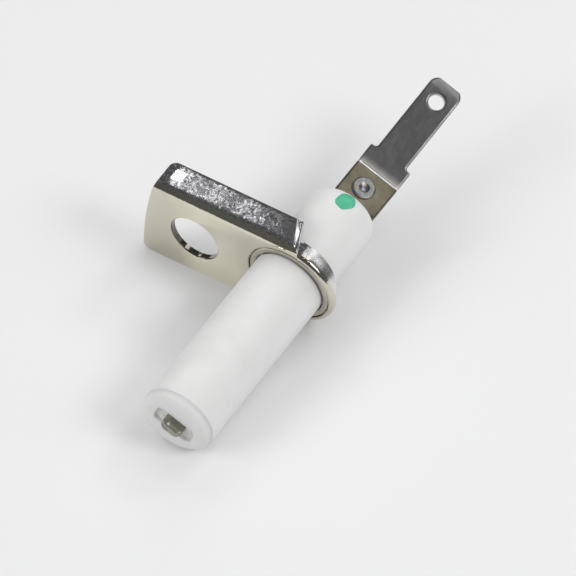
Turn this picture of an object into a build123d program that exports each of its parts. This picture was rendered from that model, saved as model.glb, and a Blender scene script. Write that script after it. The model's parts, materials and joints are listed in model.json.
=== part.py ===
from build123d import *
import math
import os

# Ignition electrode for a gas burner: an alumina tube with a flat conductor in
# its slot, a pressed steel bracket that screws it to the burner, and a tab
# terminal for the ignition lead.
#
# Frame: the origin is on the ceramic's axis, in the plane of the bracket's front
# face. +Y runs along the ceramic from the spark tip to the terminal, the bracket
# reaches out to -X, and its stiffening flange is on top, at +Z. Millimetres.

# Ceramic insulator
CERAMIC_RADIUS = 3.0
CERAMIC_REAR_RADIUS = 2.86
CERAMIC_FRONT_Y = -15.95
CERAMIC_REAR_Y = 8.35
NOSE_ROUND = 0.85
NOSE_GROOVE_Y = -15.25
NOSE_GROOVE_RADIUS = 0.15
NOSE_GROOVE_DEPTH = 0.12
REAR_ROUND = 1.2
SLOT_WIDTH = 3.4
SLOT_HEIGHT = 1.85
SLOT_CORNER = 0.5
SLOT_RIM_ROUND = 0.12
CRIMP_GROOVE_LENGTH = 1.2
CRIMP_GROOVE_DEPTH = 0.2

# Flat conductors: the spark strip and the terminal lie in one plane, which is
# rolled about the ceramic's axis from the bracket's plane.
ROLL_ANGLE = 24.0
CONDUCTOR_THICKNESS = 0.8
STRIP_TIP_WIDTH = 1.75
STRIP_BODY_WIDTH = 3.1
STRIP_TIP_REACH = 0.62
STRIP_NECK_DEPTH = 1.9
STRIP_TIP_CORNER = 0.48
STRIP_REAR_REACH = 2.9

# Tab terminal
FOOT_WIDTH = 3.8
FOOT_GAP = 0.05
BEND_START = 3.34
BEND_RADIUS = 1.2
BEND_ANGLE = 18.0
SCORE_RADIUS = 0.2
SCORE_DEPTH = 0.03
SCORE_LENGTH = 3.1
SHOULDER_LENGTH = 1.29
SHOULDER_FILLET = 0.25
TAB_WIDTH = 2.8
TAB_LENGTH = 7.36
TAB_BEVEL_LENGTH = 0.78
TAB_BEVEL_DEPTH = 0.2
TAB_CORNER_LENGTH = 0.72
TAB_CORNER_WIDTH = 0.47
TAB_CORNER_MIDDLE = (0.17, 0.24)
LATCH_HOLE_RADIUS = 0.63
LATCH_HOLE_FROM_TIP = 1.72
TERMINAL_OFFSET = 0.19
TERMINAL_SWING = 0.5

# Joint rivet
RIVET_FROM_CERAMIC = 1.6
RIVET_SHANK_RADIUS = 0.55
RIVET_HEAD_RADIUS = 0.95
RIVET_HEAD_HEIGHT = 0.17
RIVET_HEAD_ROUND = 0.15
RIVET_CRATER_RADIUS = 0.45
RIVET_CRATER_DEPTH = 0.1

# Cement plugs that hold the strip in the slot; each depth is from the ceramic's end
FRONT_CEMENT_DEPTH = 0.3
FRONT_CEMENT_LENGTH = 4.4
REAR_CEMENT_DEPTH = 0.3
REAR_CEMENT_LENGTH = 2.5

# Bracket
SHEET = 0.5
RING_RADIUS = 4.0
COLLAR_HOLE_RADIUS = 3.6
COLLAR_HOLE_ROUND = 0.08
SCREW_X = -8.5
SCREW_HOLE_RADIUS = 2.1
SCREW_HOLE_ROUND = 0.1
FLANGE_TOP_Z = 4.35
FLANGE_DEPTH = 2.8
FLANGE_BEND_RADIUS = 0.65
FLANGE_CORNER = 0.6
END_TOP_X = -11.92
END_MIDDLE_X = -13.0
END_MIDDLE_Z = -0.35
END_BOTTOM_X = -13.4
END_CORNER = 0.6
FLANGE_END_ROUND = 0.45
NOTCH_FRONT_X = 1.05
NOTCH_REAR_X = -0.1
NOTCH_WIDTH = 0.3
SKIRT_DEPTH = 1.42
SKIRT_BEND_RADIUS = 0.35
SKIRT_THICKNESS = 0.37
SKIRT_TAPER_MIDDLE = (1.08, 1.37)
SKIRT_FULL_Z = 3.3
RIM_FADE_LENGTH = 3.0

# Crimp collar between the ceramic and the bracket
COLLAR_INNER_RADIUS = 3.06
COLLAR_OUTER_RADIUS = 3.57
COLLAR_FRONT_Y = 0.03
COLLAR_REAR_Y = 1.2
COLLAR_ROUND = 0.2
COLLAR_INNER_ROUND = 0.08
BEAD_START_Y = 0.5
BEAD_END_Y = 0.9
BEAD_CLEARANCE = 0.03

# Tolerance for finding edges by their place, and how far a cutter runs past its work
TOUCH = 0.001
OVERSHOOT = 1.0


def prism(sketch, start_y, end_y):
    """Extrude a sketch drawn in X and Z from start_y to end_y."""
    face = Plane.XZ.offset(-start_y) * sketch
    return extrude(face, amount=end_y - start_y, dir=(0, 1, 0))


def rolled(shape):
    """Turn a shape from the level plane to the conductors' rolled plane."""
    return Rot(0, ROLL_ANGLE, 0) * shape


def edges_at(shape, y):
    """The edges that lie in the plane y."""
    return shape.edges().filter_by_position(Axis.Y, y - TOUCH, y + TOUCH)


def slot_sketch():
    return RectangleRounded(SLOT_WIDTH, SLOT_HEIGHT, SLOT_CORNER)


def nose_groove():
    """Cutter for the shallow ground line round the barrel, behind the rounded nose."""
    centre = (CERAMIC_RADIUS + NOSE_GROOVE_RADIUS - NOSE_GROOVE_DEPTH, NOSE_GROOVE_Y)
    return revolve(Pos(*centre) * Circle(NOSE_GROOVE_RADIUS), Axis.Y)


def ceramic_insulator():
    groove_radius = CERAMIC_RADIUS - CRIMP_GROOVE_DEPTH
    body = prism(Circle(CERAMIC_RADIUS), CERAMIC_FRONT_Y, 0)
    body += prism(Circle(groove_radius), 0, CRIMP_GROOVE_LENGTH)
    body += prism(Circle(CERAMIC_REAR_RADIUS), CRIMP_GROOVE_LENGTH, CERAMIC_REAR_Y)
    body = fillet(edges_at(body, CERAMIC_FRONT_Y), NOSE_ROUND)
    body = fillet(edges_at(body, CERAMIC_REAR_Y), REAR_ROUND)
    body -= nose_groove()
    slot = prism(slot_sketch(), CERAMIC_FRONT_Y - OVERSHOOT, CERAMIC_REAR_Y + OVERSHOOT)
    body -= rolled(slot)
    rims = edges_at(body, CERAMIC_FRONT_Y) + edges_at(body, CERAMIC_REAR_Y)
    slot_rims = [edge for edge in rims if edge.length < SLOT_WIDTH]
    return fillet(slot_rims, SLOT_RIM_ROUND)


def electrode_strip():
    tip_y = CERAMIC_FRONT_Y - STRIP_TIP_REACH
    neck_y = CERAMIC_FRONT_Y + STRIP_NECK_DEPTH
    rear_y = CERAMIC_REAR_Y + STRIP_REAR_REACH
    tip = STRIP_TIP_WIDTH / 2
    wide = STRIP_BODY_WIDTH / 2
    outline = Polyline(
        (-tip, tip_y), (tip, tip_y), (tip, neck_y), (wide, neck_y), (wide, rear_y),
        (-wide, rear_y), (-wide, neck_y), (-tip, neck_y), close=True)
    strip = Pos(0, 0, -CONDUCTOR_THICKNESS / 2) * extrude(make_face(outline), CONDUCTOR_THICKNESS)
    corners = strip.edges().filter_by(Axis.Z).group_by(Axis.Y)[0]
    strip = fillet(corners, STRIP_TIP_CORNER)
    rivet_y = CERAMIC_REAR_Y + RIVET_FROM_CERAMIC
    strip -= Pos(0, rivet_y, 0) * Cylinder(RIVET_SHANK_RADIUS, 3 * CONDUCTOR_THICKNESS)
    return rolled(strip)


def terminal_side_profile():
    """Side view of the bent terminal, in Y and Z, before it is rolled."""
    low = CONDUCTOR_THICKNESS / 2
    high = low + CONDUCTOR_THICKNESS
    front_y = CERAMIC_REAR_Y + FOOT_GAP
    bend_y = CERAMIC_REAR_Y + BEND_START
    centre_z = high + BEND_RADIUS
    outer_radius = BEND_RADIUS + CONDUCTOR_THICKNESS
    centre = (bend_y, centre_z)
    angle = math.radians(BEND_ANGLE)

    def beyond_bend(along, radius):
        """A point past the bend, at a distance along the tab and from the bend's centre."""
        y = bend_y + radius * math.sin(angle) + along * math.cos(angle)
        z = centre_z - radius * math.cos(angle) + along * math.sin(angle)
        return (y, z)

    total = SHOULDER_LENGTH + TAB_LENGTH
    bevel_start = total - TAB_BEVEL_LENGTH
    lower_arc = CenterArc(centre, outer_radius, -90, BEND_ANGLE)
    upper_arc = CenterArc(centre, BEND_RADIUS, -90, BEND_ANGLE)
    tip = Polyline(
        beyond_bend(0, outer_radius),
        beyond_bend(bevel_start, outer_radius),
        beyond_bend(total, outer_radius - TAB_BEVEL_DEPTH),
        beyond_bend(total, BEND_RADIUS + TAB_BEVEL_DEPTH),
        beyond_bend(bevel_start, BEND_RADIUS),
        beyond_bend(0, BEND_RADIUS))
    foot = Polyline((bend_y, high), (front_y, high), (front_y, low), (bend_y, low))
    return make_face(Curve() + [lower_arc, tip, upper_arc, foot])


def tab_plane():
    """A plane on the tab's middle: X across it, Y along it, its origin at the bend's end."""
    angle = math.radians(BEND_ANGLE)
    middle_radius = BEND_RADIUS + CONDUCTOR_THICKNESS / 2
    y = CERAMIC_REAR_Y + BEND_START + middle_radius * math.sin(angle)
    foot_top_z = CONDUCTOR_THICKNESS / 2 + CONDUCTOR_THICKNESS
    z = foot_top_z + BEND_RADIUS - middle_radius * math.cos(angle)
    normal = (0, -math.sin(angle), math.cos(angle))
    return Plane(origin=(0, y, z), x_dir=(1, 0, 0), z_dir=normal)


def score_cutter():
    """Cutter for the shallow line scored across the foot where the bend starts."""
    y = CERAMIC_REAR_Y + BEND_START
    foot_top_z = CONDUCTOR_THICKNESS / 2 + CONDUCTOR_THICKNESS
    z = foot_top_z + SCORE_RADIUS - SCORE_DEPTH
    return Pos(0, y, z) * Rot(0, 90, 0) * Cylinder(SCORE_RADIUS, SCORE_LENGTH)


def terminal_tab():
    blank = extrude(Plane.YZ * terminal_side_profile(), FOOT_WIDTH / 2, both=True)
    half = TAB_WIDTH / 2
    total = SHOULDER_LENGTH + TAB_LENGTH
    outside = FOOT_WIDTH
    beyond = total + OVERSHOOT
    corner_x = half - TAB_CORNER_WIDTH
    corner_y = total - TAB_CORNER_LENGTH
    inward, back = TAB_CORNER_MIDDLE
    corner = ThreePointArc((corner_x, total), (half - inward, total - back), (half, corner_y))
    rest = Polyline(
        (half, corner_y), (half, SHOULDER_LENGTH), (outside, SHOULDER_LENGTH),
        (outside, beyond), (corner_x, beyond), (corner_x, total))
    side = extrude(make_face(Curve() + [corner, rest]), CONDUCTOR_THICKNESS, both=True)
    inner_corner = side.edges().filter_by(Axis.Z).sort_by_distance((half, SHOULDER_LENGTH, 0))[0]
    side = fillet(inner_corner, SHOULDER_FILLET)
    latch_hole = Cylinder(LATCH_HOLE_RADIUS, 3 * CONDUCTOR_THICKNESS)
    cutters = side + mirror(side, Plane.YZ) + Pos(0, total - LATCH_HOLE_FROM_TIP, 0) * latch_hole
    tab = blank - tab_plane() * cutters - score_cutter()
    rivet_y = CERAMIC_REAR_Y + RIVET_FROM_CERAMIC
    swing = Pos(TERMINAL_OFFSET, rivet_y, 0) * Rot(0, 0, -TERMINAL_SWING) * Pos(0, -rivet_y, 0)
    tab = swing * tab
    tab -= Pos(0, rivet_y, CONDUCTOR_THICKNESS) * Cylinder(RIVET_SHANK_RADIUS, 2 * CONDUCTOR_THICKNESS)
    return rolled(tab)


def terminal_rivet():
    """A shank through the foot and the strip, with a dished head on each side."""
    bottom = -CONDUCTOR_THICKNESS / 2
    top = bottom + 2 * CONDUCTOR_THICKNESS
    shank = Pos(0, 0, (top + bottom) / 2) * Cylinder(RIVET_SHANK_RADIUS, top - bottom)
    head = Cylinder(RIVET_HEAD_RADIUS, RIVET_HEAD_HEIGHT, align=(Align.CENTER, Align.CENTER, Align.MIN))
    head = fillet(head.edges().group_by(Axis.Z)[-1], RIVET_HEAD_ROUND)
    crater_radius = (RIVET_CRATER_RADIUS ** 2 + RIVET_CRATER_DEPTH ** 2) / (2 * RIVET_CRATER_DEPTH)
    crater_z = RIVET_HEAD_HEIGHT - RIVET_CRATER_DEPTH + crater_radius
    head -= Pos(0, 0, crater_z) * Sphere(crater_radius)
    upper = Pos(0, 0, top) * head
    lower = Pos(0, 0, bottom) * Rot(180, 0, 0) * head
    return rolled(Pos(0, CERAMIC_REAR_Y + RIVET_FROM_CERAMIC, 0) * (shank + upper + lower))


def cement_plug(start_y, end_y, strip):
    """Cement that fills the slot round the strip."""
    return rolled(prism(slot_sketch(), start_y, end_y)) - strip


def bracket_section():
    """Side view of the plate and its flange, in Y and Z."""
    bend_z = FLANGE_TOP_Z - FLANGE_BEND_RADIUS
    centre = (FLANGE_BEND_RADIUS, bend_z)
    outer_bend = CenterArc(centre, FLANGE_BEND_RADIUS, 90, 90)
    inner_bend = CenterArc(centre, FLANGE_BEND_RADIUS - SHEET, 90, 90)
    flange = Polyline(
        (FLANGE_BEND_RADIUS, FLANGE_TOP_Z), (FLANGE_DEPTH, FLANGE_TOP_Z),
        (FLANGE_DEPTH, FLANGE_TOP_Z - SHEET), (FLANGE_BEND_RADIUS, FLANGE_TOP_Z - SHEET))
    plate = Polyline((SHEET, bend_z), (SHEET, -RING_RADIUS), (0, -RING_RADIUS), (0, bend_z))
    return make_face(Curve() + [outer_bend, flange, inner_bend, plate])


def plate_end_outline():
    """Front view of the plate, with its bowed and slanting outer end."""
    low = -RING_RADIUS
    end_arc = ThreePointArc(
        (END_TOP_X, FLANGE_TOP_Z), (END_MIDDLE_X, END_MIDDLE_Z), (END_BOTTOM_X, low))
    rest = Polyline(
        (END_BOTTOM_X, low), (0, low), (0, 0), (NOTCH_FRONT_X, 0),
        (NOTCH_FRONT_X, FLANGE_TOP_Z), (END_TOP_X, FLANGE_TOP_Z))
    outline = make_face(Curve() + [end_arc, rest])
    corner = outline.vertices().sort_by_distance((END_BOTTOM_X, low, 0))[0]
    return fillet(corner, END_CORNER)


def ring_with_skirt():
    """The plate's round end: its front rim is rounded, and bent back as a skirt at the top."""
    bend_x = RING_RADIUS - SKIRT_BEND_RADIUS
    centre = (bend_x, SKIRT_BEND_RADIUS)
    bend = CenterArc(centre, SKIRT_BEND_RADIUS, 270, 90)
    inner = RING_RADIUS - SKIRT_THICKNESS
    lines = Polyline(
        (RING_RADIUS, SKIRT_BEND_RADIUS), (RING_RADIUS, SKIRT_DEPTH), (inner, SKIRT_DEPTH),
        (inner, SHEET), (0, SHEET), (0, 0), (bend_x, 0))
    skirted = revolve(make_face(Curve() + [bend, lines]), Axis.Y)
    reach = RING_RADIUS + OVERSHOOT
    round_side = Pos(reach, 0, 0) * Box(2 * reach, 2 * reach, 2 * reach)
    disc = prism(Circle(RING_RADIUS), 0, SHEET)
    taper = ThreePointArc((SHEET, 0), SKIRT_TAPER_MIDDLE, (SKIRT_DEPTH, SKIRT_FULL_Z))
    beyond = Polyline(
        (SKIRT_DEPTH, SKIRT_FULL_Z), (reach, SKIRT_FULL_Z), (reach, -reach), (SHEET, -reach),
        (SHEET, 0))
    taper_cut = extrude(Plane.YZ * make_face(Curve() + [taper, beyond]), reach)
    return (disc - round_side) + (skirted & round_side) - taper_cut


def low_edge_cutter():
    """Waste along the plate's lower front edge, where the ring's rounded rim fades out."""
    radius = SKIRT_BEND_RADIUS
    corner = Pos(0, -RING_RADIUS) * Rectangle(2 * radius, 2 * radius)
    waste = corner - Pos(radius, radius - RING_RADIUS) * Circle(radius)
    cut_depth = radius * (math.sqrt(2) - 1)
    drift = -cut_depth / math.sqrt(2) / RIM_FADE_LENGTH
    return extrude(Plane.YZ * waste, RIM_FADE_LENGTH, dir=(-1, drift, drift))


def notch_cutter(width):
    """A slanting cut, of a width along X, that parts the flange from the skirt."""
    lean = (NOTCH_REAR_X - NOTCH_FRONT_X) / FLANGE_DEPTH
    past = FLANGE_DEPTH + OVERSHOOT
    rear_x = NOTCH_FRONT_X + lean * past
    floor_z = FLANGE_TOP_Z - FLANGE_BEND_RADIUS
    outline = Polyline(
        (NOTCH_FRONT_X, 0), (NOTCH_FRONT_X + width, 0), (rear_x + width, past),
        (rear_x, past), close=True)
    return Pos(0, 0, floor_z) * extrude(make_face(outline), FLANGE_BEND_RADIUS + OVERSHOOT)


def flange_corner_cutter():
    """The waste outside the rounded corner at the flange's rear outer end."""
    x = END_TOP_X + FLANGE_CORNER
    y = FLANGE_DEPTH - FLANGE_CORNER
    square = Pos(x - FLANGE_CORNER, y + FLANGE_CORNER) * Rectangle(2 * FLANGE_CORNER, 2 * FLANGE_CORNER)
    waste = square - Pos(x, y) * Circle(FLANGE_CORNER)
    return Pos(0, 0, FLANGE_TOP_Z - 2 * SHEET) * extrude(waste, 4 * SHEET)


def flange_end_cutter():
    """The waste outside the rolled-over top edge of the flange's slanting inner end."""
    run_x = NOTCH_REAR_X - NOTCH_FRONT_X
    length = math.hypot(run_x, FLANGE_DEPTH)
    outward = (FLANGE_DEPTH / length, -run_x / length, 0)
    along = (-run_x, -FLANGE_DEPTH, 0)
    rear_top = (NOTCH_REAR_X, FLANGE_DEPTH, FLANGE_TOP_Z)
    plane = Plane(origin=rear_top, x_dir=outward, z_dir=along)
    radius = FLANGE_END_ROUND
    waste = Rectangle(2 * radius, 2 * radius) - Pos(-radius, -radius) * Circle(radius)
    return extrude(plane * waste, length)


def flange_with_plate():
    """The bent sheet, from the plate's outer end to the flange's slanting inner end."""
    span = NOTCH_FRONT_X - END_BOTTOM_X
    blank = Pos(END_BOTTOM_X, 0, 0) * extrude(Plane.YZ * bracket_section(), span)
    plate = blank & prism(plate_end_outline(), -OVERSHOOT, FLANGE_DEPTH + OVERSHOOT)
    return plate - flange_corner_cutter() - notch_cutter(2 * FLANGE_DEPTH) - flange_end_cutter()


def punched_hole(radius, rim_round, centre_x):
    """Cutter for a hole through the sheet, with a rounded rim on the front face."""
    wide = radius + rim_round
    rim = CenterArc((wide, rim_round), rim_round, 180, 90)
    sides = Polyline(
        (radius, rim_round), (radius, OVERSHOOT), (0, OVERSHOOT), (0, -OVERSHOOT),
        (wide, -OVERSHOOT), (wide, 0))
    return Pos(centre_x, 0, 0) * revolve(make_face(Curve() + [rim, sides]), Axis.Y)


def mounting_bracket():
    body = flange_with_plate() + (ring_with_skirt() - notch_cutter(NOTCH_WIDTH))
    body -= low_edge_cutter()
    body -= punched_hole(COLLAR_HOLE_RADIUS, COLLAR_HOLE_ROUND, 0)
    return body - punched_hole(SCREW_HOLE_RADIUS, SCREW_HOLE_ROUND, SCREW_X)


def retaining_collar():
    """A tube crimped into the ceramic's groove and pressed into the bracket."""
    tube = prism(Circle(COLLAR_OUTER_RADIUS) - Circle(COLLAR_INNER_RADIUS), COLLAR_FRONT_Y, COLLAR_REAR_Y)
    tube = fillet(edges_at(tube, COLLAR_FRONT_Y).sort_by(SortBy.RADIUS)[-1], COLLAR_ROUND)
    tube = fillet(edges_at(tube, COLLAR_FRONT_Y).sort_by(SortBy.RADIUS)[0], COLLAR_INNER_ROUND)
    bead = Circle(COLLAR_INNER_RADIUS) - Circle(CERAMIC_RADIUS - CRIMP_GROOVE_DEPTH + BEAD_CLEARANCE)
    return tube + prism(bead, BEAD_START_Y, BEAD_END_Y)


def build_parts():
    strip = electrode_strip()
    front_y = CERAMIC_FRONT_Y + FRONT_CEMENT_DEPTH
    rear_y = CERAMIC_REAR_Y - REAR_CEMENT_DEPTH
    return {
        "ceramic_insulator": ceramic_insulator(),
        "electrode_strip": strip,
        "terminal_tab": terminal_tab(),
        "terminal_rivet": terminal_rivet(),
        "front_cement": cement_plug(front_y, front_y + FRONT_CEMENT_LENGTH, strip),
        "rear_cement": cement_plug(rear_y - REAR_CEMENT_LENGTH, rear_y, strip),
        "mounting_bracket": mounting_bracket(),
        "retaining_collar": retaining_collar(),
    }


os.makedirs("parts", exist_ok=True)
for node, shape in build_parts().items():
    export_step(shape, "parts/" + node + ".step")
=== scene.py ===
import json
import math

import bmesh
import bpy
from mathutils import Matrix, Vector


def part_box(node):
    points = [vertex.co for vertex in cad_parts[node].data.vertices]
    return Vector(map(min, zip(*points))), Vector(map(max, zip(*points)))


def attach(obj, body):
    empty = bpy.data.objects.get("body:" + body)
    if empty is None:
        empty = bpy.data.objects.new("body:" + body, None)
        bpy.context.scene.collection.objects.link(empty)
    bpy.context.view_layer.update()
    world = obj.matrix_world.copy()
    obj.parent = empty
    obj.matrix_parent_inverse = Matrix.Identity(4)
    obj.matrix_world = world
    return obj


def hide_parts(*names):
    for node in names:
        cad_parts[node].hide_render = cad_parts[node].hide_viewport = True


# Looks for the ignition electrode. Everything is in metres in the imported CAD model's
# frame: the origin is on the ceramic's axis in the plane of the bracket's front face, +Y
# runs along the ceramic from the spark tip to the terminal, the bracket reaches to -X and
# its flange is on top, at +Z.

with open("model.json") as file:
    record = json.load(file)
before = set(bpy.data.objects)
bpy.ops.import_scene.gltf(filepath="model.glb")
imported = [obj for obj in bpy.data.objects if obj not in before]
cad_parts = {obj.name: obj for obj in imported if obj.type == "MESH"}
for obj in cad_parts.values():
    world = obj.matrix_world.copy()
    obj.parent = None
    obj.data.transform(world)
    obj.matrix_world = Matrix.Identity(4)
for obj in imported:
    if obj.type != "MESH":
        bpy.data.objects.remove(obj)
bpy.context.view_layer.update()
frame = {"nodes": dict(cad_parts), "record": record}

MM = 0.001
BODY = "root"

# Camera: a long lens, so that lines stay nearly parallel. Angles are in degrees, and the
# sensor's width is in millimetres.
VIEW_AZIMUTH = 36.94
VIEW_ELEVATION = 51.26
VIEW_ROLL = 5.12
VIEW_TARGET = Vector((0.146, -0.257, -0.236)) * MM
VIEW_DISTANCE = 2000 * MM
VIEW_WIDTH = 43.74 * MM
SENSOR = 36.0
CLIP_START = 50 * MM
CLIP_END = 10000 * MM

FLOOR_SIZE = 1600 * MM

# A dim room with soft lights: each one's direction, side in metres, power in watts, and
# whether metal mirrors it
ROOM_COLOUR = (0.98, 0.99, 1.0, 1)
ROOM_LIGHT = 0.10
LIGHT_DISTANCE = 0.6
SOFTBOXES = {
    "front": ((-0.42, -0.65, 0.62), 0.30, 0.95, False),
    "behind": ((-0.35, 0.80, 0.50), 0.30, 0.35, False),
    "side": ((0.80, 0.35, 0.48), 0.30, 0.35, False),
    "far": ((-0.71, -0.41, 0.57), 0.26, 0.22, True),
    "left": ((-0.78, 0.04, 0.62), 0.20, 0.08, True),
    "right": ((0.77, 0.11, 0.70), 0.20, 0.95, True),
    "rear": ((0.20, 0.72, 0.62), 0.14, 0.30, True),
    "back": ((0.39, 0.49, 0.78), 0.14, 0.12, True),
    "window": ((-0.56, 0.42, 0.71), 0.10, 0.14, True),
    "fill": ((0, 0, 1), 1.6, 3.45, False),
}

# Edge rounding on the sheet metal. An edge is rounded if it is sharper than SHARP_ANGLE
# and neither of its faces is tiny. One that is less sharp than CREASE_ANGLE is shaded
# smooth.
BRACKET_EDGE = 0.12 * MM
TAB_EDGE = 0.16 * MM
STRIP_EDGE = 0.12 * MM
EDGE_SEGMENTS = 4
SHARP_ANGLE = math.radians(35)
CREASE_ANGLE = math.radians(15)
SMALL_FACE = 0.01 * MM ** 2

# Joining of flat faces: the angle up to which an edge is flat, how close two points are
# that become one, and how close to a corner a cut passes through it
FLAT_ANGLE = math.radians(0.5)
SAME_PLACE = 0.001 * MM
SNAP = 0.01 * MM
LATCH_HOLE_FROM_TIP = 1.72 * MM

# Paint dot on the ceramic. The waves round its outline are each a count, a height as a
# share of the radius, and a phase.
DOT_ANGLE = math.radians(16)
DOT_FROM_REAR = 1.16 * MM
DOT_RADIUS = 0.76 * MM
DOT_STRETCH = 1.15
DOT_THICKNESS = 0.035 * MM
DOT_WAVES = ((2, 0.07, 0.6), (5, 0.04, 1.9))
DOT_RINGS = 10
DOT_SPOKES = 64


# --- Node helper -------------------------------------------------------------------


class Shader:
    """A material's node tree, with short ways to add the nodes that are used here.

    Places in it, self.x, self.y and self.z, are in millimetres in the part's frame.
    """

    def __init__(self, name):
        self.material = bpy.data.materials.new(name)
        self.material.use_nodes = True
        self.tree = self.material.node_tree
        self.surface = self.tree.nodes["Principled BSDF"]
        place = self.add("TexCoord", {}).outputs["Object"]
        self.mm = self.scaled(place, (1000, 1000, 1000))
        self.x, self.y, self.z = self.add("SeparateXYZ", {"Vector": self.mm}).outputs

    def add(self, kind, inputs, **settings):
        """A new node, with its inputs linked to sockets or set to plain values."""
        node = self.tree.nodes.new("ShaderNode" + kind)
        for key, value in settings.items():
            setattr(node, key, value)
        self.feed(node, inputs)
        return node

    def feed(self, node, inputs):
        for key, value in inputs.items():
            if isinstance(value, bpy.types.NodeSocket):
                self.tree.links.new(value, node.inputs[key])
            else:
                node.inputs[key].default_value = value

    def scaled(self, vector, scale):
        return self.add("Mapping", {"Vector": vector, "Scale": scale}).outputs["Vector"]

    def noise(self, scale, detail=2.0, roughness=0.5, stretch=None, warp=0.0):
        """Noise with `scale` features per millimetre, from 0 to 1."""
        vector = self.mm if stretch is None else self.scaled(self.mm, stretch)
        inputs = {"Vector": vector, "Scale": scale, "Detail": detail}
        inputs.update({"Roughness": roughness, "Distortion": warp})
        return self.add("TexNoise", inputs).outputs["Fac"]

    def cells(self, scale, output="Distance"):
        inputs = {"Vector": self.mm, "Scale": scale}
        return self.add("TexVoronoi", inputs).outputs[output]

    def remap(self, value, low, high, to_low, to_high):
        inputs = {"Value": value, "From Min": low, "From Max": high}
        inputs.update({"To Min": to_low, "To Max": to_high})
        return self.add("MapRange", inputs).outputs["Result"]

    def maths(self, operation, first, second):
        return self.add("Math", {0: first, 1: second}, operation=operation).outputs[0]

    def times(self, first, second):
        return self.maths("MULTIPLY", first, second)

    def blend(self, factor, first, second):
        """The second colour laid over the first by a factor."""
        inputs = {0: factor, 6: first, 7: second}
        return self.add("Mix", inputs, data_type="RGBA").outputs[2]

    def tilted(self, amount, lean, under=None):
        """The surface normal, or another one, leaned over by an amount times a vector."""
        normal = under or self.add("NewGeometry", {}).outputs["Normal"]
        offset = self.add("VectorMath", {0: lean, "Scale": amount}, operation="SCALE").outputs[0]
        leaned = self.add("VectorMath", {0: normal, 1: offset}, operation="ADD").outputs[0]
        return self.add("VectorMath", {0: leaned}, operation="NORMALIZE").outputs[0]

    def window(self, value, start, end, soft):
        """One between start and end, falling to zero over a soft width outside them."""
        rise = self.remap(value, start - soft, start, 0, 1)
        fall = self.remap(value, end, end + soft, 1, 0)
        return self.times(rise, fall)

    def bump(self, height, depth, under=None):
        """A normal for a height that runs from 0 to 1 over a depth in metres."""
        inputs = {"Height": height, "Distance": depth}
        if under is not None:
            inputs["Normal"] = under
        return self.add("Bump", inputs).outputs["Normal"]


def grey(value):
    return (value, value, value, 1)


def mount(name):
    return next(entry for entry in frame["record"]["mounts"] if entry["name"] == name)


def box_mm(node):
    """A node's lowest and highest corners, in millimetres."""
    low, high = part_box(node)
    return low / MM, high / MM


# --- Materials ---------------------------------------------------------------------
#
# Places and widths that are named above a material are in millimetres.

# Painted shade round the nose: its place from the spark end, its half width and its soft width
NOSE_SHADE_FROM_END = 0.70
NOSE_SHADE_HALF_WIDTH = 0.06
NOSE_SHADE_SOFT = 0.24


def alumina():
    """Unglazed white ceramic: a fine grain, a few dark specks and a grey band of painted shade
    round the nose's edge.
    """
    shader = Shader("alumina")
    mottle = shader.remap(shader.noise(0.5, 3), 0.3, 0.7, 0, 1)
    body = shader.blend(mottle, (0.79, 0.79, 0.78, 1), (0.83, 0.83, 0.825, 1))
    chosen = shader.remap(shader.cells(1.1, "Color"), 0.80, 0.82, 0, 1)
    near = shader.remap(shader.cells(1.1), 0.05, 0.13, 1, 0)
    specks = shader.times(shader.times(chosen, near), 0.35)
    specked = shader.blend(specks, body, (0.42, 0.40, 0.37, 1))
    # Painted shade: a grey band round the nose's rounded edge
    line = box_mm("ceramic_insulator")[0].y + NOSE_SHADE_FROM_END
    painted_shade = shader.window(
        shader.y, line - NOSE_SHADE_HALF_WIDTH, line + NOSE_SHADE_HALF_WIDTH, NOSE_SHADE_SOFT)
    colour = shader.blend(shader.times(painted_shade, 0.6), specked, grey(0.66))
    grain = shader.bump(shader.noise(14, 3, 0.6), 0.006 * MM)
    normal = shader.bump(shader.noise(0.9, 2), 0.03 * MM, grain)
    roughness = shader.remap(shader.noise(2.2, 3), 0.3, 0.7, 0.42, 0.58)
    shader.feed(shader.surface, {
        "Base Color": colour, "Roughness": roughness, "Normal": normal,
        "Subsurface Weight": 0.2, "Subsurface Scale": 0.3 * MM,
        "Subsurface Radius": (1, 1, 1), "Specular IOR Level": 0.3})
    return shader.material


def cement():
    """Porous off-white cement."""
    shader = Shader("cement")
    pores = shader.remap(shader.cells(5), 0.05, 0.3, 0, 1)
    patches = shader.noise(1.6, 4)
    body = shader.blend(patches, (0.76, 0.745, 0.71, 1), (0.85, 0.84, 0.81, 1))
    # The pores are painted dark as shade in them; the patches are the cement's own tone
    colour = shader.blend(pores, (0.42, 0.40, 0.36, 1), body)
    normal = shader.bump(shader.times(pores, patches), 0.08 * MM)
    shader.feed(shader.surface, {"Base Color": colour, "Roughness": 0.9, "Normal": normal})
    return shader.material


# Along Y, where the bracket's flat plate gives way to its bent parts
BENT_START = 0.35
BENT_FULL = 0.6

# Along X from the bracket's outer end: the plate's dull end and the stretch lightened with painted
# light
DULL_END = 2.4
DULL_FADED = 5.4
PAINTED_LIGHT_START = 4.9
PAINTED_LIGHT_END = 8.6
PAINTED_LIGHT_SOFT = 1.5

# Along Z, where the painted light on the plate starts and where it is strongest
PAINTED_LIGHT_TOP = 2.4
PAINTED_LIGHT_FULL = -1.5

# Along X from the ceramic's axis, where the ring's far side starts
RING_SIDE_START = 1.1
RING_SIDE_FULL = 1.5

# Mottling on the flange's top. It starts a little way from the bracket's outer end and
# keeps off the front and rear edges. It is thick past one place along X and thin past
# another, both measured from the ceramic's axis, and both wander.
MOTTLE_FROM_END = 2.16
MOTTLE_FULL_FROM_END = 2.46
MOTTLE_FRONT = 0.95
MOTTLE_FROM_REAR = 0.35
MOTTLE_EDGE_SOFT = 0.3
MOTTLE_THIN_X = 0.0
MOTTLE_THICK_X = -4.5
MOTTLE_WANDER = 2.5

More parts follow.
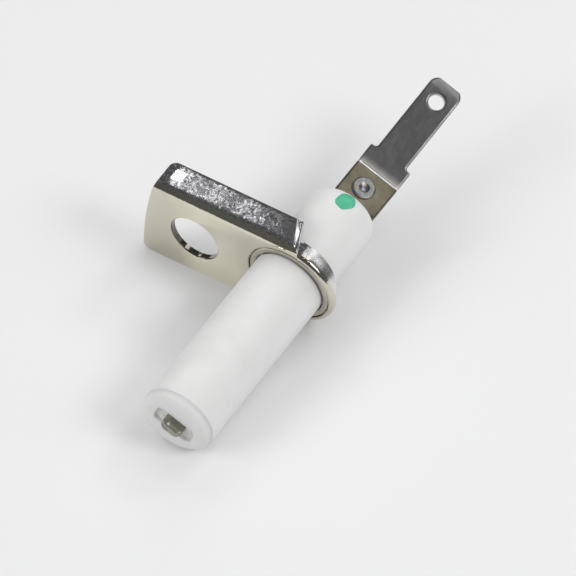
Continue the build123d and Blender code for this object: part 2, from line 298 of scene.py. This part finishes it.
# The bright rubbed patch: along X from the bracket's outer end, along Y from its rear edge
RUB_START_FROM_END = 2.26
RUB_END_FROM_END = 3.0
RUB_START_FROM_REAR = 1.45
RUB_END_FROM_REAR = 0.65
RUB_SOFT = 0.2

# How far the mottling and the rubbed patch lean towards the light
RUB_LEAN = (-0.115, -0.053, 0)

# The flange's rolled inner end, painted dark as a dark reflection, and the painted highlight along
# its middle, placed by X plus a share of Y, because that end is slanted
ROLL_SLANT = 0.50
ROLL_START = 0.74
ROLL_END = 1.02
ROLL_SOFT = 0.08
ROLL_LEAN_START = 0.70
ROLL_LEAN_END = 1.08
ROLL_LEAN = (0.894, 0.447, 0)
PAINTED_HIGHLIGHT_START = 0.86
PAINTED_HIGHLIGHT_END = 0.92
PAINTED_HIGHLIGHT_SOFT = 0.12

# Past the screw hole's radius, how far the painted shade on its wall reaches in full and at all
WALL_SHADE_FULL = 0.03
WALL_SHADE_REACH = 0.08


def plate_colour(shader, left):
    """Warm nickel, duller at the outer end, and lightened low down in the middle with painted
    light.
    """
    patches = shader.remap(shader.noise(0.35, 3), 0.3, 0.7, 0, 1)
    tinted = shader.blend(patches, (0.77, 0.735, 0.59, 1), (0.80, 0.77, 0.64, 1))
    past_end = shader.remap(shader.x, left + DULL_END, left + DULL_FADED, 0, 1)
    upper = shader.blend(past_end, (0.67, 0.645, 0.54, 1), tinted)
    # Painted light: the plate is lightened low down in its middle stretch
    low = shader.remap(shader.z, PAINTED_LIGHT_TOP, PAINTED_LIGHT_FULL, 0, 1)
    middle = shader.window(shader.x, left + PAINTED_LIGHT_START, left + PAINTED_LIGHT_END, PAINTED_LIGHT_SOFT)
    return shader.blend(shader.times(low, middle), upper, (0.95, 0.91, 0.75, 1))


def bent_colour(shader, ring_side):
    """Greyer nickel, with fine specks everywhere but on the ring's far side."""
    fine = shader.remap(shader.noise(4.5, 3, 0.6, warp=1.0), 0.4, 0.6, 0, 1)
    specked = shader.blend(fine, (0.50, 0.48, 0.51, 1), (0.84, 0.84, 0.845, 1))
    return shader.blend(ring_side, specked, grey(0.76))


def mottled_zone(shader, left, rear):
    """How strongly each place on the flange's top is mottled."""
    wander = shader.remap(shader.noise(0.5, 3), 0, 1, -MOTTLE_WANDER, MOTTLE_WANDER)
    wandering_x = shader.maths("ADD", shader.x, wander)
    outer = shader.remap(wandering_x, MOTTLE_THIN_X, MOTTLE_THICK_X, 0.30, 1)
    inside = shader.window(shader.y, MOTTLE_FRONT, rear - MOTTLE_FROM_REAR, MOTTLE_EDGE_SOFT)
    past_end = shader.remap(
        shader.x, left + MOTTLE_FROM_END, left + MOTTLE_FULL_FROM_END, 0, 1)
    return shader.times(shader.times(outer, inside), past_end)


def mottling(shader):
    """Broken swirls, thicker in some clumps than in others."""
    clumps = shader.remap(shader.noise(0.8, 2), 0.40, 0.60, 0.025, -0.035)
    broken = shader.maths("ADD", shader.noise(3.0, 4, 0.62, warp=1.2), clumps)
    return shader.remap(broken, 0.41, 0.60, 0.1, 0.72)


def rubbed_patch(shader, left, rear):
    """A small bright patch near the flange's outer end."""
    along = shader.window(
        shader.x, left + RUB_START_FROM_END, left + RUB_END_FROM_END, RUB_SOFT)
    across = shader.window(
        shader.y, rear - RUB_START_FROM_REAR, rear - RUB_END_FROM_REAR, RUB_SOFT)
    return shader.times(along, across)


def screw_hole_shade(shader):
    """The sheared wall of the screw hole, which is painted dark as shade."""
    hole = mount("screw_hole")
    radius = hole["dims"]["r_mm"]
    from_hole = shader.maths("SUBTRACT", shader.x, hole["pos_m"][0] / MM)
    squared = shader.maths(
        "ADD", shader.times(from_hole, from_hole), shader.times(shader.z, shader.z))
    return shader.remap(squared, (radius + WALL_SHADE_FULL) ** 2, (radius + WALL_SHADE_REACH) ** 2, 1, 0)


def nickel_plate():
    """Bright nickel: warm and clean on the flat plate, greyer and mottled on the bent parts."""
    shader = Shader("nickel_plate")
    low_corner, high_corner = box_mm("mounting_bracket")
    left = low_corner.x
    rear = high_corner.y
    bent = shader.remap(shader.y, BENT_START, BENT_FULL, 0, 1)
    ring_side = shader.remap(shader.x, RING_SIDE_START, RING_SIDE_FULL, 0, 1)
    skirt = shader.times(ring_side, bent)
    slanted = shader.maths("ADD", shader.x, shader.times(shader.y, ROLL_SLANT))
    rolled_end = shader.times(shader.window(slanted, ROLL_START, ROLL_END, ROLL_SOFT), bent)
    painted_highlight = shader.window(slanted, PAINTED_HIGHLIGHT_START, PAINTED_HIGHLIGHT_END, PAINTED_HIGHLIGHT_SOFT)

    flat_parts = shader.blend(ring_side, plate_colour(shader, left), (0.66, 0.63, 0.54, 1))
    plain = shader.blend(bent, flat_parts, bent_colour(shader, ring_side))
    # Painted shade: the screw hole's wall is painted dark
    shaded_wall = shader.blend(screw_hole_shade(shader), plain, (0.26, 0.24, 0.21, 1))
    # The rolled end gets a painted dark reflection, with a painted highlight along its middle
    colour = shader.blend(rolled_end, shaded_wall, shader.blend(painted_highlight, grey(0.2), grey(0.9)))

    zone = mottled_zone(shader, left, rear)
    sheen_mask = rubbed_patch(shader, left, rear)
    lean = shader.maths("MAXIMUM", shader.times(mottling(shader), zone), sheen_mask)
    towards_light = shader.tilted(lean, RUB_LEAN)
    across_roll = shader.remap(slanted, ROLL_LEAN_START, ROLL_LEAN_END, 0.5, -0.42)
    evened = shader.times(across_roll, rolled_end)
    leaned = shader.tilted(evened, ROLL_LEAN, towards_light)
    calm = shader.remap(skirt, 0, 1, 1, 0.3)
    waves = shader.times(shader.noise(3.0, 3, 0.55, warp=0.5), calm)
    ripples = shader.bump(waves, 0.012 * MM, leaned)
    normal = shader.bump(shader.noise(0.6, 2), 0.035 * MM, ripples)

    speckle = shader.remap(shader.noise(5, 4, 0.65), 0.45, 0.7, 0, 0.04)
    dulled = shader.maths("ADD", shader.remap(zone, 0, 1, 0.10, 0.26), speckle)
    smoother = shader.remap(sheen_mask, 0, 1, dulled, 0.18)
    duller_parts = shader.maths("MAXIMUM", skirt, rolled_end)
    roughness = shader.maths("ADD", smoother, shader.remap(duller_parts, 0, 1, 0, 0.12))
    shader.feed(shader.surface, {
        "Base Color": colour, "Metallic": 1.0, "Roughness": roughness, "Normal": normal})
    return shader.material


def collar_metal():
    """The collar's smoother nickel, dulled to a brown-grey."""
    shader = Shader("collar_metal")
    patches = shader.noise(0.8, 3)
    colour = shader.blend(patches, (0.48, 0.45, 0.39, 1), (0.62, 0.585, 0.51, 1))
    normal = shader.bump(shader.noise(4, 3), 0.01 * MM)
    roughness = shader.remap(shader.noise(2, 3), 0.3, 0.7, 0.18, 0.3)
    shader.feed(shader.surface, {
        "Base Color": colour, "Metallic": 1.0, "Roughness": roughness, "Normal": normal})
    return shader.material


# Along Y, how far behind the ceramic the tab's bend starts, how long the bend is, over which its
# painted sheen fades, and the half width of the painted highlight along the line scored across it
BEND_FROM_CERAMIC = 3.34
BEND_LENGTH = 0.7
BEND_SOFT = 0.03
BEND_HIGHLIGHT_HALF_WIDTH = 0.07


def tab_metal():
    """Satin rolled steel: a brown-stained foot, a bend with painted sheen and a dark grey blade.

    A painted highlight runs along the line scored across where the bend starts.
    """
    shader = Shader("tab_metal")
    bend = box_mm("ceramic_insulator")[1].y + BEND_FROM_CERAMIC
    foot = shader.remap(shader.y, bend - BEND_SOFT, bend + BEND_SOFT, 1, 0)
    up_to_blade = shader.remap(shader.y, bend, bend + BEND_LENGTH, 1, 0)
    # Painted sheen: the bend is lightened, fading towards the blade
    sheen_mask = shader.times(up_to_blade, shader.maths("SUBTRACT", 1, foot))
    # Painted highlight: a bright line across the bend's start
    bend_highlight = shader.window(
        shader.y, bend - BEND_HIGHLIGHT_HALF_WIDTH, bend + BEND_HIGHLIGHT_HALF_WIDTH, BEND_SOFT)
    smudges = shader.remap(shader.noise(0.55, 4, 0.6), 0.35, 0.7, 0, 1)
    lines = shader.noise(6, 2, stretch=(1, 0.08, 1))
    steel = shader.blend(smudges, (0.27, 0.265, 0.27, 1), (0.365, 0.36, 0.365, 1))
    blade = shader.blend(shader.remap(lines, 0.4, 0.6, 0, 0.2), steel, grey(0.43))
    bright = shader.blend(sheen_mask, blade, (0.72, 0.68, 0.62, 1))
    brown = shader.blend(smudges, (0.15, 0.135, 0.095, 1), (0.24, 0.215, 0.16, 1))
    colour = shader.blend(bend_highlight, shader.blend(foot, bright, brown), grey(0.85))
    normal = shader.bump(lines, 0.003 * MM, shader.bump(shader.noise(0.7, 2), 0.025 * MM))
    satin = shader.remap(smudges, 0, 1, 0.36, 0.28)
    roughness = shader.maths("ADD", satin, shader.remap(sheen_mask, 0, 1, 0, 0.15))
    shader.feed(shader.surface, {
        "Base Color": colour, "Metallic": 1.0, "Roughness": roughness, "Normal": normal})
    return shader.material


# The strip's turn about the ceramic's axis, the height of its upper face above that axis, and the
# length over which the painted highlights on the tip fade out inside the slot
STRIP_TURN = math.radians(24)
STRIP_TOP = 0.4
STRIP_TOP_SOFT = 0.015
TIP_FADE = 0.2


def strip_metal():
    """Heat-dulled steel, olive-grey, with darker stains and painted highlights on the tip's top.
    """
    shader = Shader("strip_metal")
    stains = shader.remap(shader.noise(1.3, 4, 0.6), 0.35, 0.7, 0, 1)
    dull = shader.blend(stains, (0.22, 0.22, 0.175, 1), (0.42, 0.42, 0.35, 1))
    spark_end = box_mm("ceramic_insulator")[0].y
    tip = shader.remap(shader.y, spark_end, spark_end + TIP_FADE, 1, 0)
    height = shader.maths(
        "ADD", shader.times(shader.x, math.sin(STRIP_TURN)),
        shader.times(shader.z, math.cos(STRIP_TURN)))
    top = shader.remap(height, STRIP_TOP - STRIP_TOP_SOFT, STRIP_TOP, 0, 1)
    # Painted highlights: bright spots on the tip's top face
    highlight_noise = shader.remap(shader.noise(1.9, 1), 0.52, 0.60, 0, 1)
    painted_highlights = shader.times(highlight_noise, shader.times(tip, top))
    colour = shader.blend(painted_highlights, dull, (0.88, 0.88, 0.80, 1))
    normal = shader.bump(shader.noise(2.2, 3), 0.03 * MM)
    roughness = shader.remap(stains, 0, 1, 0.42, 0.28)
    shader.feed(shader.surface, {
        "Base Color": colour, "Metallic": 0.9, "Roughness": roughness, "Normal": normal})
    return shader.material


def rivet_metal():
    """Formed rivet steel: satin, with a slight unevenness from the punch."""
    shader = Shader("rivet_metal")
    patches = shader.remap(shader.noise(2.4, 3), 0.4, 0.6, 0, 1)
    colour = shader.blend(patches, (0.24, 0.27, 0.33, 1), (0.42, 0.39, 0.31, 1))
    normal = shader.bump(shader.noise(2.5, 3), 0.03 * MM)
    roughness = shader.remap(patches, 0, 1, 0.30, 0.42)
    shader.feed(shader.surface, {
        "Base Color": colour, "Metallic": 1.0, "Roughness": roughness, "Normal": normal})
    return shader.material


def marking_paint():
    """Matt mint-green marking paint, thinner and paler in places."""
    shader = Shader("marking_paint")
    thin = shader.remap(shader.noise(1.6, 3), 0.35, 0.75, 0, 1)
    colour = shader.blend(thin, (0.055, 0.49, 0.27, 1), (0.15, 0.60, 0.40, 1))
    normal = shader.bump(shader.noise(5, 3), 0.02 * MM)
    shader.feed(shader.surface, {"Base Color": colour, "Roughness": 0.45, "Normal": normal})
    return shader.material


def floor_paper():
    """Plain pale backdrop paper with the slightest unevenness."""
    shader = Shader("floor_paper")
    patches = shader.noise(0.02, 2)
    colour = shader.blend(patches, (0.89, 0.89, 0.895, 1), (0.90, 0.90, 0.905, 1))
    shader.feed(shader.surface, {"Base Color": colour, "Roughness": 0.75})
    return shader.material


# --- Pieces ------------------------------------------------------------------------


def set_material(piece, material):
    piece.data.materials.clear()
    piece.data.materials.append(material)


def hole_planes():
    """For each sheet-metal node, the planes that cut squarely across its holes."""
    tab_axis = Vector(mount("lead_tab")["axis"]).normalized()
    latch_hole = Vector(mount("lead_tab")["pos_m"]) - tab_axis * LATCH_HOLE_FROM_TIP
    rivet_low, rivet_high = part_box("terminal_rivet")
    rivet_plane = ((rivet_low + rivet_high) / 2, Vector((0, 1, 0)))
    return {
        "mounting_bracket": [(Vector((0, 0, 0)), Vector((0, 0, 1)))],
        "terminal_tab": [(latch_hole, tab_axis), rivet_plane],
        "electrode_strip": [rivet_plane]}


def join_flat_faces(shape, planes):
    """Join each flat face's triangles, parted only where a plane cuts across its holes."""
    bmesh.ops.remove_doubles(shape, verts=shape.verts, dist=SAME_PLACE)
    bmesh.ops.dissolve_limit(
        shape, angle_limit=FLAT_ANGLE, use_dissolve_boundaries=False,
        verts=shape.verts, edges=shape.edges)
    kept = set()
    for place, normal in planes:
        everything = shape.verts[:] + shape.edges[:] + shape.faces[:]
        cut = bmesh.ops.bisect_plane(
            shape, geom=everything, dist=SNAP, plane_co=place, plane_no=normal)
        kept.update(cut["geom_cut"])
    flat = [edge for edge in shape.edges if edge.calc_face_angle(0) < FLAT_ANGLE]
    bridges = [edge for edge in flat if edge not in kept]
    bmesh.ops.dissolve_edges(shape, edges=bridges, use_verts=True)


def with_soft_edges(node, width, clamp, material):
    """Stand a copy of a sheet-metal node, with its sharp edges rounded, in for the node.

    A clamped rounding is narrowed to fit between edges that are close together, as at the
    bracket's notch.
    """
    mesh = frame["nodes"][node].data.copy()
    mesh.attributes.remove(mesh.attributes["custom_normal"])
    shape = bmesh.new()
    shape.from_mesh(mesh)
    join_flat_faces(shape, hole_planes()[node])
    weight = shape.edges.layers.float.new("bevel_weight_edge")
    for edge in shape.edges:
        angle = edge.calc_face_angle(0)
        broad = min(face.calc_area() for face in edge.link_faces) > SMALL_FACE
        edge[weight] = 1.0 if angle > SHARP_ANGLE and broad else 0.0
        edge.smooth = angle < CREASE_ANGLE or edge[weight] > 0
    for face in shape.faces:
        face.smooth = True
    shape.to_mesh(mesh)
    shape.free()
    piece = bpy.data.objects.new(node + "_rounded", mesh)
    bpy.context.collection.objects.link(piece)
    rounding = piece.modifiers.new("edge_rounding", "BEVEL")
    rounding.width = width
    rounding.segments = EDGE_SEGMENTS
    rounding.limit_method = "WEIGHT"
    rounding.harden_normals = True
    rounding.use_clamp_overlap = clamp
    set_material(piece, material)
    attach(piece, BODY)
    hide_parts(node)


def paint_dot(material):
    """A dab of marking paint laid on the ceramic's surface."""
    ceramic = frame["nodes"]["ceramic_insulator"]
    low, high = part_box("ceramic_insulator")
    width = high.x - low.x
    centre_y = high.y - DOT_FROM_REAR
    shape = bmesh.new()

    def on_surface(spoke, share):
        """The point on the ceramic under a place on the dab, lifted by the paint there."""
        turn = 2 * math.pi * spoke / DOT_SPOKES
        wobble = sum(height * math.sin(count * turn + phase) for count, height, phase in DOT_WAVES)
        reach = DOT_RADIUS * (1 + wobble) * share
        around = DOT_ANGLE + reach * math.cos(turn) / high.z
        y = centre_y + DOT_STRETCH * reach * math.sin(turn)
        outward = Vector((math.sin(around), 0, math.cos(around)))
        start = outward * width + Vector((0, y, 0))
        _, place, normal, _ = ceramic.ray_cast(start, -outward)
        lift = DOT_THICKNESS * math.sqrt(1 - share ** 4)
        return place + normal * lift

    middle = shape.verts.new(on_surface(0, 0))
    rings = []
    for ring in range(1, DOT_RINGS + 1):
        share = ring / DOT_RINGS
        rings.append([
            shape.verts.new(on_surface(spoke, share)) for spoke in range(DOT_SPOKES)])
    for spoke in range(DOT_SPOKES):
        after = (spoke + 1) % DOT_SPOKES
        shape.faces.new((middle, rings[0][spoke], rings[0][after]))
        for inner, outer in zip(rings, rings[1:]):
            shape.faces.new((inner[spoke], outer[spoke], outer[after], inner[after]))
    bmesh.ops.recalc_face_normals(shape, faces=shape.faces)
    for face in shape.faces:
        face.smooth = True
    mesh = bpy.data.meshes.new("paint_dot")
    shape.to_mesh(mesh)
    shape.free()
    piece = bpy.data.objects.new("paint_dot", mesh)
    bpy.context.collection.objects.link(piece)
    set_material(piece, material)
    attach(piece, BODY)


# --- Stage -------------------------------------------------------------------------


def floor():
    """A plane through the spark end's lowest line and the bracket's lower edge."""
    ceramic_low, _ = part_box("ceramic_insulator")
    bracket_low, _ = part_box("mounting_bracket")
    slope = math.atan2(bracket_low.z - ceramic_low.z, bracket_low.y - ceramic_low.y)
    bpy.ops.mesh.primitive_plane_add(size=FLOOR_SIZE)
    plane = bpy.context.object
    plane.name = "floor"
    plane.rotation_euler = (slope, 0, 0)
    plane.location = (0, bracket_low.y, bracket_low.z)
    set_material(plane, floor_paper())


def softbox(name, direction, side, power, mirrored):
    """A square soft light that faces the origin from a direction."""
    light = bpy.data.lights.new(name, "AREA")
    light.shape = "SQUARE"
    light.size = side
    light.energy = power
    lamp = bpy.data.objects.new(name, light)
    towards = Vector(direction).normalized()
    lamp.location = towards * LIGHT_DISTANCE
    lamp.rotation_euler = towards.to_track_quat("Z", "Y").to_euler()
    lamp.visible_camera = False
    lamp.visible_glossy = mirrored
    bpy.context.collection.objects.link(lamp)


def studio():
    """A dim room with soft lights round and above the part."""
    world = bpy.data.worlds.new("studio")
    world.use_nodes = True
    background = world.node_tree.nodes["Background"]
    background.inputs["Color"].default_value = ROOM_COLOUR
    background.inputs["Strength"].default_value = ROOM_LIGHT
    bpy.context.scene.world = world
    for name, settings in SOFTBOXES.items():
        softbox(name, *settings)


def camera():
    """The photo's view of the part."""
    azimuth = math.radians(VIEW_AZIMUTH)
    elevation = math.radians(VIEW_ELEVATION)
    back = Vector((
        math.sin(azimuth) * math.cos(elevation),
        -math.cos(azimuth) * math.cos(elevation),
        math.sin(elevation)))
    data = bpy.data.cameras.new("camera")
    data.sensor_width = SENSOR
    data.lens = SENSOR * VIEW_DISTANCE / VIEW_WIDTH
    data.clip_start = CLIP_START
    data.clip_end = CLIP_END
    eye = bpy.data.objects.new("camera", data)
    upright = (-back).to_track_quat("-Z", "Y").to_matrix().to_4x4()
    roll = Matrix.Rotation(math.radians(-VIEW_ROLL), 4, "Z")
    eye.matrix_world = Matrix.Translation(VIEW_TARGET + back * VIEW_DISTANCE) @ upright @ roll
    bpy.context.collection.objects.link(eye)
    bpy.context.scene.camera = eye


# --- The scene ---------------------------------------------------------------------

camera()
floor()
studio()
bpy.context.scene.view_settings.view_transform = "Standard"

set_material(frame["nodes"]["ceramic_insulator"], alumina())
set_material(frame["nodes"]["retaining_collar"], collar_metal())
set_material(frame["nodes"]["terminal_rivet"], rivet_metal())
cement_look = cement()
for plug in ("front_cement", "rear_cement"):
    set_material(frame["nodes"][plug], cement_look)
with_soft_edges("mounting_bracket", BRACKET_EDGE, True, nickel_plate())
with_soft_edges("terminal_tab", TAB_EDGE, False, tab_metal())
with_soft_edges("electrode_strip", STRIP_EDGE, False, strip_metal())
paint_dot(marking_paint())
